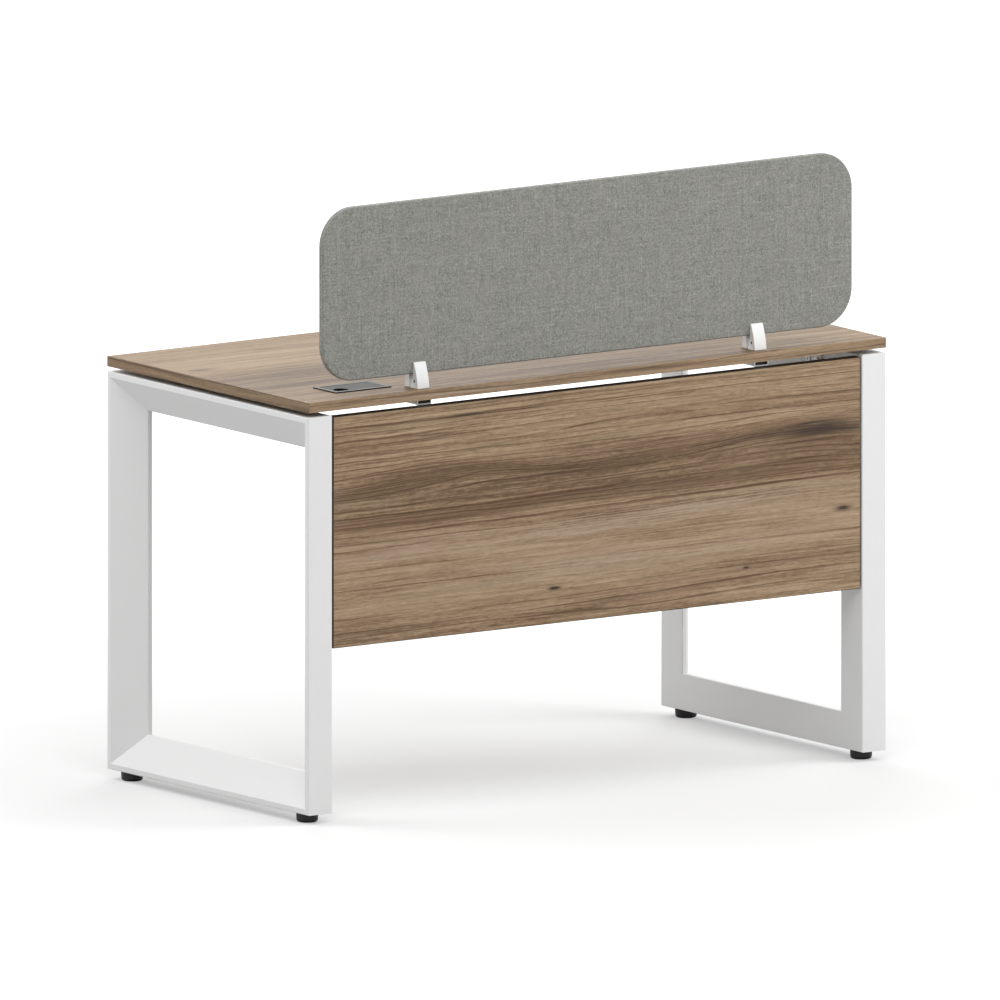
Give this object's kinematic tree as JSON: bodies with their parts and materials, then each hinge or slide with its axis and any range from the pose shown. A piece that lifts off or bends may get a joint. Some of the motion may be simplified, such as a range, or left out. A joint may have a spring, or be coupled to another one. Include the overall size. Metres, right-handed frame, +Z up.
{
  "type": "cubicle workstation",
  "caption": "Office workstation with a laminate worktop on closed loop leg frames, a modesty panel, a clamp-on fabric screen and a flip-lid cable port.",
  "frame": {"origin": "on the floor, under the middle of the worktop", "axes": "+X along the desk towards the user's right, +Y from the user towards the modesty panel, +Z up"},
  "size_m": [1.2, 0.6, 1.054],
  "materials": {
    "laminate_top": "matt wood-grain laminate",
    "edge_band": "matt wood-grain edge banding",
    "laminate_panel": "matt wood-grain laminate",
    "panel_edge": "matt wood-grain edge banding",
    "powder_coat": "white powder coat",
    "screen_fabric": "grey heather weave",
    "screen_board": "bare fibreboard",
    "clamp_white": "white satin paint",
    "block_metal": "plain die cast",
    "port_metal": "satin anodised",
    "port_lid_metal": "satin anodised, darker",
    "zinc_steel": "bright zinc plated",
    "black_steel": "black oxide",
    "foot_plastic": "black moulded"
  },
  "bodies": {
    "desk": {"worktop": "laminate_top", "worktop_front_edge": "edge_band", "worktop_rear_edge": "edge_band", "worktop_left_edge": "edge_band", "worktop_right_edge": "edge_band", "left_front_post": "powder_coat", "left_rear_post": "powder_coat", "left_top_rail": "powder_coat", "left_bottom_rail": "powder_coat", "right_front_post": "powder_coat", "right_rear_post": "powder_coat", "right_top_rail": "powder_coat", "right_bottom_rail": "powder_coat", "front_beam": "powder_coat", "rear_beam": "powder_coat", "beam_end_plates": "powder_coat", "beam_bolts": "zinc_steel", "beam_rivet_nuts": "zinc_steel", "worktop_screws": "zinc_steel", "modesty_panel": "laminate_panel", "modesty_top_edge": "panel_edge", "modesty_bottom_edge": "panel_edge", "modesty_left_edge": "panel_edge", "modesty_right_edge": "panel_edge", "modesty_brackets": "powder_coat", "bracket_wood_screws": "zinc_steel", "bracket_post_screws": "zinc_steel", "screen_core": "screen_board", "screen_rear_fabric": "screen_fabric", "screen_front_fabric": "screen_fabric", "left_clamp_rear_jaw": "clamp_white", "left_clamp_front_jaw": "clamp_white", "left_clamp_block": "block_metal", "right_clamp_rear_jaw": "clamp_white", "right_clamp_front_jaw": "clamp_white", "right_clamp_block": "block_metal", "clamp_bolts": "zinc_steel", "clamp_grub_screws": "black_steel", "port_frame": "port_metal", "port_hinge_pins": "zinc_steel", "port_screws": "zinc_steel", "foot_inserts": "zinc_steel"},
    "port_lid": {"port_lid": "port_lid_metal"},
    "front_left_foot": {"front_left_foot": "foot_plastic", "front_left_stem": "zinc_steel"},
    "front_right_foot": {"front_right_foot": "foot_plastic", "front_right_stem": "zinc_steel"},
    "rear_left_foot": {"rear_left_foot": "foot_plastic", "rear_left_stem": "zinc_steel"},
    "rear_right_foot": {"rear_right_foot": "foot_plastic", "rear_right_stem": "zinc_steel"}
  },
  "joints": [
    {"name": "port_lid_hinge", "type": "hinge", "parent": "desk", "child": "port_lid", "pos_m": [0.446, 0.1863, 0.7298], "axis": [1, 0, 0], "range_deg": [0, 100]},
    {"name": "front_left_foot_height", "type": "slide", "parent": "desk", "child": "front_left_foot", "axis": [0, 0, -1], "range_m": [0, 0.012]},
    {"name": "front_right_foot_height", "type": "slide", "parent": "desk", "child": "front_right_foot", "axis": [0, 0, -1], "range_m": [0, 0.012]},
    {"name": "rear_left_foot_height", "type": "slide", "parent": "desk", "child": "rear_left_foot", "axis": [0, 0, -1], "range_m": [0, 0.012]},
    {"name": "rear_right_foot_height", "type": "slide", "parent": "desk", "child": "rear_right_foot", "axis": [0, 0, -1], "range_m": [0, 0.012]}
  ]
}
